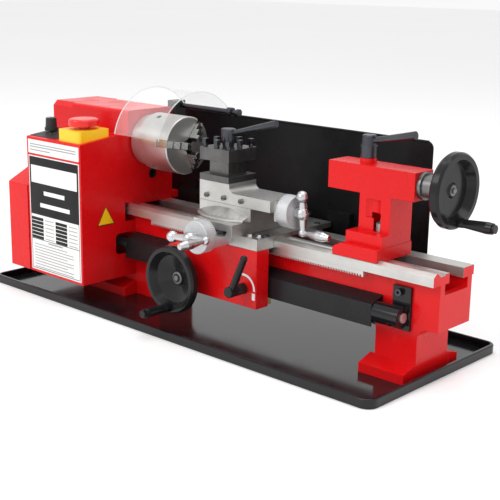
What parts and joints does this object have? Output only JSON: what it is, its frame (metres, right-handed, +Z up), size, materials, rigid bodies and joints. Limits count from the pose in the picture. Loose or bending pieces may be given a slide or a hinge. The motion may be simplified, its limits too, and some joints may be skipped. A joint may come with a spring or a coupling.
{
  "type": "metal lathe",
  "caption": "Bench-top metal-turning lathe: bed with ground ways, headstock with three-jaw chuck, carriage with cross and compound slides, tailstock, splash and chuck guards, chip tray.",
  "frame": {"origin": "centre of the four bench-bolt holes, on the underside of the chip tray", "axes": "+X along the spindle from headstock to tailstock, +Y away from the operator, +Z up"},
  "size_m": [0.7579, 0.308, 0.3],
  "materials": {
    "black_enamel": "gloss black enamel",
    "cast_bed": "gloss red enamel with ground ways",
    "red_paint": "gloss red enamel",
    "bright_steel": "turned",
    "black_screws": "black oxide",
    "yellow_plastic": "moulded",
    "dark_steel": "machined and oiled",
    "motor_black": "satin",
    "belt_rubber": "matte",
    "black_plastic": "satin",
    "hood_grey": "satin",
    "red_plastic": "moulded",
    "aluminium": "turned",
    "chuck_steel": "turned and ground",
    "jaw_steel": "hardened and ground",
    "clear_guard": "clear",
    "saddle_iron": "ground and darkened",
    "wheel_black": "gloss black",
    "brass_nut": "machined",
    "crank_chrome": "polished",
    "black_oxide": "black oxide"
  },
  "bodies": {
    "machine": {"chip_tray": "black_enamel", "bed": "cast_bed", "headstock": "red_paint", "spindle_bearings": "bright_steel", "gear_cover": "red_paint", "cap_screws": "black_screws", "control_box": "red_paint", "switch_base": "yellow_plastic", "change_gear_plate": "dark_steel", "motor": "motor_black", "drive_belt": "belt_rubber", "guard_bracket": "black_plastic", "splash_guard": "black_enamel", "rack": "dark_steel", "leadscrew_brackets": "black_enamel", "leadscrew_hood": "hood_grey"},
    "stop_button": {"stop_button": "red_plastic"},
    "speed_knob": {"speed_knob": "black_plastic"},
    "spindle_assembly": {"spindle": "bright_steel", "spindle_gear": "dark_steel", "spindle_pulley": "aluminium", "chuck_body": "chuck_steel"},
    "chuck_scroll": {"chuck_scroll": "dark_steel"},
    "jaw_1": {"chuck_jaw_1": "jaw_steel"},
    "jaw_2": {"chuck_jaw_2": "jaw_steel"},
    "jaw_3": {"chuck_jaw_3": "jaw_steel"},
    "motor_rotor": {"motor_pulley": "aluminium"},
    "tumbler": {"tumbler_gear": "dark_steel"},
    "stud": {"stud_gears": "dark_steel"},
    "leadscrew": {"leadscrew": "bright_steel"},
    "guard": {"guard_rod": "bright_steel", "chuck_guard": "clear_guard"},
    "carriage": {"saddle": "saddle_iron", "saddle_gib": "dark_steel", "apron": "red_paint", "cross_feed_bracket": "aluminium"},
    "apron_idler": {"apron_idler_gear": "dark_steel"},
    "rack_pinion": {"rack_pinion_shaft": "dark_steel"},
    "carriage_wheel": {"carriage_wheel": "wheel_black"},
    "carriage_grip": {"carriage_grip": "wheel_black"},
    "half_nut": {"half_nut": "brass_nut"},
    "half_nut_lever": {"half_nut_lever": "wheel_black"},
    "cross_slide": {"cross_slide": "saddle_iron"},
    "cross_feed": {"cross_feed_screw": "bright_steel", "cross_feed_crank": "crank_chrome"},
    "swivel": {"compound_swivel": "saddle_iron"},
    "compound": {"top_slide": "saddle_iron"},
    "compound_feed": {"compound_screw": "bright_steel", "compound_crank": "crank_chrome"},
    "tool_post": {"tool_post": "black_oxide", "tool_post_screws": "black_screws"},
    "tool_post_lever": {"tool_post_lever": "wheel_black"},
    "tailstock": {"tailstock_base": "red_paint", "tailstock_body": "red_paint", "tailstock_clamp": "dark_steel", "tailstock_cap": "aluminium"},
    "quill": {"quill": "bright_steel"},
    "tailstock_wheel": {"tailstock_wheel": "wheel_black"},
    "tailstock_grip": {"tailstock_grip": "wheel_black"},
    "quill_lock": {"quill_lock": "wheel_black"}
  },
  "joints": [
    {"name": "spindle_turn", "type": "hinge", "parent": "machine", "child": "spindle_assembly", "pos_m": [-0.188, 0, 0.224], "axis": [1, 0, 0], "continuous": true},
    {"name": "scroll_turn", "type": "hinge", "parent": "spindle_assembly", "child": "chuck_scroll", "pos_m": [-0.153, 0, 0.224], "axis": [1, 0, 0], "range_deg": [-540, 540]},
    {"name": "motor_turn", "type": "hinge", "parent": "machine", "child": "motor_rotor", "pos_m": [-0.32, 0.084, 0.068], "axis": [1, 0, 0], "continuous": true},
    {"name": "tumbler_turn", "type": "hinge", "parent": "machine", "child": "tumbler", "pos_m": [-0.341, -0.01325, 0.17995], "axis": [1, 0, 0], "continuous": true},
    {"name": "stud_turn", "type": "hinge", "parent": "machine", "child": "stud", "pos_m": [-0.341, -0.0175, 0.12211], "axis": [1, 0, 0], "continuous": true},
    {"name": "leadscrew_turn", "type": "hinge", "parent": "machine", "child": "leadscrew", "pos_m": [0, -0.038, 0.0765], "axis": [1, 0, 0], "continuous": true},
    {"name": "guard_swing", "type": "hinge", "parent": "machine", "child": "guard", "pos_m": [-0.15, 0.0575, 0.2685], "axis": [-1, 0, 0], "range_deg": [0, 95]},
    {"name": "stop_press", "type": "slide", "parent": "machine", "child": "stop_button", "axis": [0, 0, -1], "range_m": [0, 0.004], "stiffness_N_per_m": 600},
    {"name": "speed_turn", "type": "hinge", "parent": "machine", "child": "speed_knob", "pos_m": [-0.314, -0.09, 0.24], "axis": [0, 0, 1], "range_deg": [0, 270]},
    {"name": "carriage_slide", "type": "slide", "parent": "machine", "child": "carriage", "axis": [1, 0, 0], "range_m": [-0.055, 0.007]},
    {"name": "rack_pinion_turn", "type": "hinge", "parent": "carriage", "child": "rack_pinion", "pos_m": [-0.015, -0.05, 0.1075], "axis": [0, 1, 0], "range_deg": [-50, 430]},
    {"name": "apron_idler_turn", "type": "hinge", "parent": "carriage", "child": "apron_idler", "pos_m": [-0.0321, -0.064, 0.08045], "axis": [0, 1, 0], "range_deg": [-340, 40]},
    {"name": "carriage_wheel_turn", "type": "hinge", "parent": "carriage", "child": "carriage_wheel", "pos_m": [-0.054, -0.09, 0.0684], "axis": [0, 1, 0], "range_deg": [-100, 860]},
    {"name": "carriage_grip_turn", "type": "hinge", "parent": "carriage_wheel", "child": "carriage_grip", "pos_m": [-0.054, -0.13, 0.0324], "axis": [0, 1, 0], "continuous": true},
    {"name": "half_nut_lever_turn", "type": "hinge", "parent": "carriage", "child": "half_nut_lever", "pos_m": [0.0495, -0.09, 0.0733], "axis": [0, 1, 0], "range_deg": [0, 46]},
    {"name": "half_nut_slide", "type": "slide", "parent": "carriage", "child": "half_nut", "axis": [0, 0, 1], "range_m": [0, 0.0056]},
    {"name": "cross_screw_turn", "type": "hinge", "parent": "carriage", "child": "cross_feed", "pos_m": [0.011, -0.11, 0.1396], "axis": [0, 1, 0], "range_deg": [-4000, 16240]},
    {"name": "cross_slide_move", "type": "slide", "parent": "carriage", "child": "cross_slide", "axis": [0, 1, 0], "range_m": [-0.011, 0.045]},
    {"name": "swivel_turn", "type": "hinge", "parent": "cross_slide", "child": "swivel", "pos_m": [0.005, -0.015, 0.156], "axis": [0, 0, 1], "range_deg": [-35, 10]},
    {"name": "compound_slide", "type": "slide", "parent": "swivel", "child": "compound", "axis": [-1, 0, 0], "range_m": [-0.0051, 0.0301]},
    {"name": "compound_screw_turn", "type": "hinge", "parent": "compound", "child": "compound_feed", "pos_m": [0.09, -0.037, 0.173], "axis": [-1, 0, 0], "range_deg": [-1800, 10800]},
    {"name": "tool_post_turn", "type": "hinge", "parent": "compound", "child": "tool_post", "pos_m": [-0.015, -0.037, 0.22], "axis": [0, 0, 1], "continuous": true},
    {"name": "tool_post_lever_turn", "type": "hinge", "parent": "compound", "child": "tool_post_lever", "pos_m": [-0.015, -0.037, 0.25], "axis": [0, 0, 1], "range_deg": [-90, 90]},
    {"name": "tailstock_slide", "type": "slide", "parent": "machine", "child": "tailstock", "axis": [1, 0, 0], "range_m": [-0.006, 0.07]},
    {"name": "tailstock_wheel_turn", "type": "hinge", "parent": "tailstock", "child": "tailstock_wheel", "pos_m": [0.298, 0, 0.224], "axis": [-1, 0, 0], "range_deg": [0, 8100]},
    {"name": "quill_slide", "type": "slide", "parent": "tailstock", "child": "quill", "axis": [-1, 0, 0], "range_m": [0, 0.0451]},
    {"name": "tailstock_grip_turn", "type": "hinge", "parent": "tailstock_wheel", "child": "tailstock_grip", "pos_m": [0.325, 0.003, 0.1885], "axis": [1, 0, 0], "continuous": true},
    {"name": "quill_lock_turn", "type": "hinge", "parent": "tailstock", "child": "quill_lock", "pos_m": [0.1785, 0, 0.25], "axis": [0, 0, 1], "range_deg": [-40, 40]},
    {"name": "jaw_1_slide", "type": "slide", "parent": "spindle_assembly", "child": "jaw_1", "axis": [0, -0.9903, 0.1392], "range_m": [-0.0061, 0.0061]},
    {"name": "jaw_2_slide", "type": "slide", "parent": "spindle_assembly", "child": "jaw_2", "axis": [0, 0.6157, 0.788], "range_m": [-0.0061, 0.0061]},
    {"name": "jaw_3_slide", "type": "slide", "parent": "spindle_assembly", "child": "jaw_3", "axis": [0, 0.3746, -0.9272], "range_m": [-0.0061, 0.0061]}
  ],
  "couplings": [
    {"joint": "motor_turn", "follows": "spindle_turn", "ratio": 2.5},
    {"joint": "tumbler_turn", "follows": "spindle_turn", "ratio": -0.76923},
    {"joint": "stud_turn", "follows": "spindle_turn", "ratio": 0.625},
    {"joint": "leadscrew_turn", "follows": "spindle_turn", "ratio": -0.15625},
    {"joint": "rack_pinion_turn", "follows": "carriage_slide", "rad_per_m": -123.08},
    {"joint": "apron_idler_turn", "follows": "carriage_slide", "rad_per_m": 95.726},
    {"joint": "carriage_wheel_turn", "follows": "carriage_slide", "rad_per_m": -246.15},
    {"joint": "half_nut_lever_turn", "follows": "half_nut_slide", "rad_per_m": 140.25},
    {"joint": "cross_screw_turn", "follows": "cross_slide_move", "rad_per_m": 6283.2},
    {"joint": "compound_slide", "follows": "compound_screw_turn", "m_per_rad": 0.00015915},
    {"joint": "quill_slide", "follows": "tailstock_wheel_turn", "m_per_rad": 0.00031831},
    {"joint": "jaw_1_slide", "follows": "scroll_turn", "m_per_rad": 0.00063662},
    {"joint": "jaw_2_slide", "follows": "scroll_turn", "m_per_rad": 0.00063662},
    {"joint": "jaw_3_slide", "follows": "scroll_turn", "m_per_rad": 0.00063662}
  ]
}
